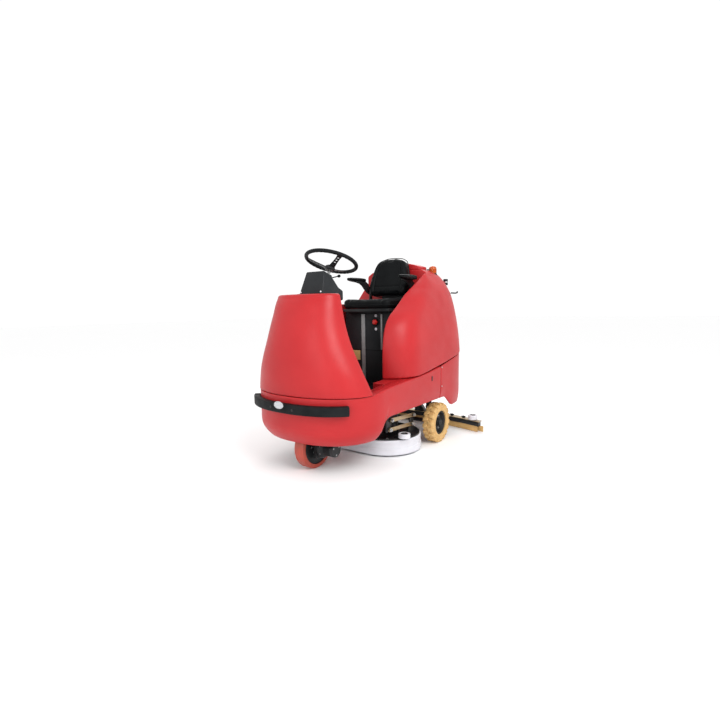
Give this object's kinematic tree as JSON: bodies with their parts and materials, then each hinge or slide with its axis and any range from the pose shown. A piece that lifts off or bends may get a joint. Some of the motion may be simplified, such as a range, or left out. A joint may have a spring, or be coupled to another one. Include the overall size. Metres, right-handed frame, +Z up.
{
  "type": "ride-on floor scrubber",
  "caption": "Ride-on floor scrubber with a driver's seat, steering wheel, brush deck, rear squeegee and water tanks.",
  "frame": {"origin": "on the floor, under the middle of the machine", "axes": "+X to the driver's left, -Y to the front, +Z up"},
  "size_m": [1.31, 1.839, 1.4878],
  "materials": {
    "red_moulding": "satin",
    "charcoal_plastic": "satin",
    "black_paint": "satin",
    "black_rubber": "matte",
    "black_vinyl": "satin",
    "white_plastic": "satin",
    "red_polyurethane": "satin",
    "tan_rubber": "matte",
    "yellow_zinc": "satin",
    "steel": "satin",
    "blue_bristle": "matte",
    "orange_lens": "gloss",
    "red_button": "gloss",
    "white_reflector": "gloss",
    "battery_case": "matte",
    "natural_tank": "satin"
  },
  "bodies": {
    "root": {"chassis_frame": "black_paint", "lower_body": "red_moulding", "rear_lower_cover": "red_moulding", "front_cowl": "red_moulding", "knee_panel": "charcoal_plastic", "solution_tank": "natural_tank", "solution_cap": "charcoal_plastic", "recovery_tank": "red_moulding", "bumper_strip": "black_rubber", "bumper_reflector": "white_reflector", "battery_box": "charcoal_plastic", "traction_battery": "battery_case", "steering_column": "black_paint", "steering_gearbox": "black_paint", "steering_console": "charcoal_plastic", "pedal_shaft": "steel", "vacuum_motor": "charcoal_plastic", "beacon": "orange_lens", "drain_hose_cap": "charcoal_plastic"},
    "steering": {"steering_wheel": "black_rubber", "steering_shaft": "steel"},
    "drive_swivel": {"steer_fork": "black_paint", "drive_motor": "black_paint"},
    "drive_wheel": {"drive_hub": "black_paint", "drive_tyre": "red_polyurethane"},
    "rear_wheel_left": {"rear_hub_left": "black_paint", "rear_tyre_left": "tan_rubber"},
    "rear_wheel_right": {"rear_hub_right": "black_paint", "rear_tyre_right": "tan_rubber"},
    "lower_links": {"lower_link_left": "yellow_zinc", "lower_link_right": "yellow_zinc"},
    "upper_links": {"upper_link_left": "yellow_zinc", "upper_link_right": "yellow_zinc"},
    "deck": {"deck_plate": "black_paint", "deck_skirt": "white_plastic", "brush_motor_left": "black_paint", "brush_motor_right": "black_paint"},
    "brush_left": {"brush_left": "blue_bristle"},
    "brush_right": {"brush_right": "blue_bristle"},
    "deck_roller_left": {"deck_roller_left": "white_plastic"},
    "deck_roller_right": {"deck_roller_right": "white_plastic"},
    "squeegee_swing": {"squeegee_swivel": "black_paint"},
    "squeegee_lift": {"squeegee_arm": "black_paint", "squeegee_body": "black_paint", "squeegee_plate": "yellow_zinc", "blade_front": "tan_rubber", "blade_rear": "tan_rubber"},
    "squeegee_roller_left": {"squeegee_roller_left": "white_plastic"},
    "squeegee_roller_right": {"squeegee_roller_right": "white_plastic"},
    "seat_base": {"seat_plate": "charcoal_plastic"},
    "seat": {"seat_frame": "black_paint", "seat_cushion": "black_vinyl", "backrest_cushion": "black_vinyl"},
    "armrest_left": {"armrest_left": "black_vinyl"},
    "armrest_right": {"armrest_right": "black_vinyl"},
    "lid": {"tank_lid": "red_moulding"},
    "pedal": {"accelerator_pedal": "black_rubber"},
    "stop_button": {"stop_button": "red_button"},
    "key": {"key_switch": "steel"},
    "lever": {"direction_lever": "black_paint"}
  },
  "joints": [
    {"name": "steering_turn", "type": "hinge", "parent": "root", "child": "steering", "pos_m": [0, -0.395, 1.394], "axis": [0, 0.3469, 0.9379], "range_deg": [-270, 270]},
    {"name": "drive_swivel", "type": "hinge", "parent": "root", "child": "drive_swivel", "pos_m": [0.01, -0.642, 0], "axis": [0, 0, 1], "range_deg": [-60, 60]},
    {"name": "drive_spin", "type": "hinge", "parent": "drive_swivel", "child": "drive_wheel", "pos_m": [0.01, -0.642, 0.15], "axis": [1, 0, 0], "continuous": true},
    {"name": "rear_spin_left", "type": "hinge", "parent": "root", "child": "rear_wheel_left", "pos_m": [0.43325, 0.346, 0.157], "axis": [1, 0, 0], "continuous": true},
    {"name": "rear_spin_right", "type": "hinge", "parent": "root", "child": "rear_wheel_right", "pos_m": [-0.43325, 0.346, 0.157], "axis": [1, 0, 0], "continuous": true},
    {"name": "deck_lift", "type": "hinge", "parent": "root", "child": "lower_links", "pos_m": [0, -0.225, 0.212], "axis": [1, 0, 0], "range_deg": [0, 9]},
    {"name": "upper_link_turn", "type": "hinge", "parent": "root", "child": "upper_links", "pos_m": [0, -0.205, 0.278], "axis": [1, 0, 0], "range_deg": [0, 9]},
    {"name": "deck_level", "type": "hinge", "parent": "lower_links", "child": "deck", "pos_m": [0, 0.085, 0.19], "axis": [1, 0, 0], "range_deg": [-9, 0]},
    {"name": "brush_spin_left", "type": "hinge", "parent": "deck", "child": "brush_left", "pos_m": [0.213, 0.007, 0.06], "axis": [0, 0, 1], "continuous": true},
    {"name": "brush_spin_right", "type": "hinge", "parent": "deck", "child": "brush_right", "pos_m": [-0.213, 0.007, 0.06], "axis": [0, 0, 1], "continuous": true},
    {"name": "deck_roller_spin_left", "type": "hinge", "parent": "deck", "child": "deck_roller_left", "pos_m": [0.412, -0.115, 0.15], "axis": [0, 0, 1], "continuous": true},
    {"name": "deck_roller_spin_right", "type": "hinge", "parent": "deck", "child": "deck_roller_right", "pos_m": [-0.412, -0.115, 0.15], "axis": [0, 0, 1], "continuous": true},
    {"name": "squeegee_swing", "type": "hinge", "parent": "root", "child": "squeegee_swing", "pos_m": [0, 0.585, 0.35], "axis": [0, 0, 1], "range_deg": [-8, 8]},
    {"name": "squeegee_lift", "type": "hinge", "parent": "squeegee_swing", "child": "squeegee_lift", "pos_m": [0, 0.64, 0.3], "axis": [1, 0, 0], "range_deg": [0, 12]},
    {"name": "squeegee_roller_spin_left", "type": "hinge", "parent": "squeegee_lift", "child": "squeegee_roller_left", "pos_m": [0.555, 0.79661, 0.117], "axis": [0, 0, 1], "continuous": true},
    {"name": "squeegee_roller_spin_right", "type": "hinge", "parent": "squeegee_lift", "child": "squeegee_roller_right", "pos_m": [-0.555, 0.79661, 0.117], "axis": [0, 0, 1], "continuous": true},
    {"name": "seat_tilt", "type": "hinge", "parent": "root", "child": "seat_base", "pos_m": [0, 0.07, 1.0303], "axis": [1, 0, 0], "range_deg": [0, 50]},
    {"name": "seat_slide", "type": "slide", "parent": "seat_base", "child": "seat", "axis": [0, -1, 0], "range_m": [0, 0.09]},
    {"name": "armrest_fold_left", "type": "hinge", "parent": "seat", "child": "armrest_left", "pos_m": [0.221, 0.378, 1.203], "axis": [-1, 0, 0], "range_deg": [0, 50]},
    {"name": "armrest_fold_right", "type": "hinge", "parent": "seat", "child": "armrest_right", "pos_m": [-0.221, 0.378, 1.203], "axis": [-1, 0, 0], "range_deg": [0, 50]},
    {"name": "lid_open", "type": "hinge", "parent": "root", "child": "lid", "pos_m": [0, 0.6, 1.3753], "axis": [-1, 0, 0], "range_deg": [0, 75]},
    {"name": "pedal_press", "type": "hinge", "parent": "root", "child": "pedal", "pos_m": [-0.15, -0.36, 0.5013], "axis": [1, 0, 0], "range_deg": [0, 12], "stiffness_Nm_per_rad": 2, "springref_deg": -17.19},
    {"name": "stop_press", "type": "slide", "parent": "root", "child": "stop_button", "axis": [0, 1, 0], "range_m": [0, 0.008]},
    {"name": "key_turn", "type": "hinge", "parent": "root", "child": "key", "pos_m": [0.058, -0.4, 1.159], "axis": [0, 1, 0], "range_deg": [0, 60]},
    {"name": "lever_select", "type": "hinge", "parent": "root", "child": "lever", "pos_m": [0, -0.4297, 1.3002], "axis": [0, 0.3469, 0.9379], "range_deg": [-20, 20]}
  ],
  "couplings": [
    {"joint": "steering_turn", "follows": "drive_swivel", "ratio": 4.5},
    {"joint": "upper_link_turn", "follows": "deck_lift", "ratio": 1},
    {"joint": "deck_level", "follows": "deck_lift", "ratio": -1}
  ]
}
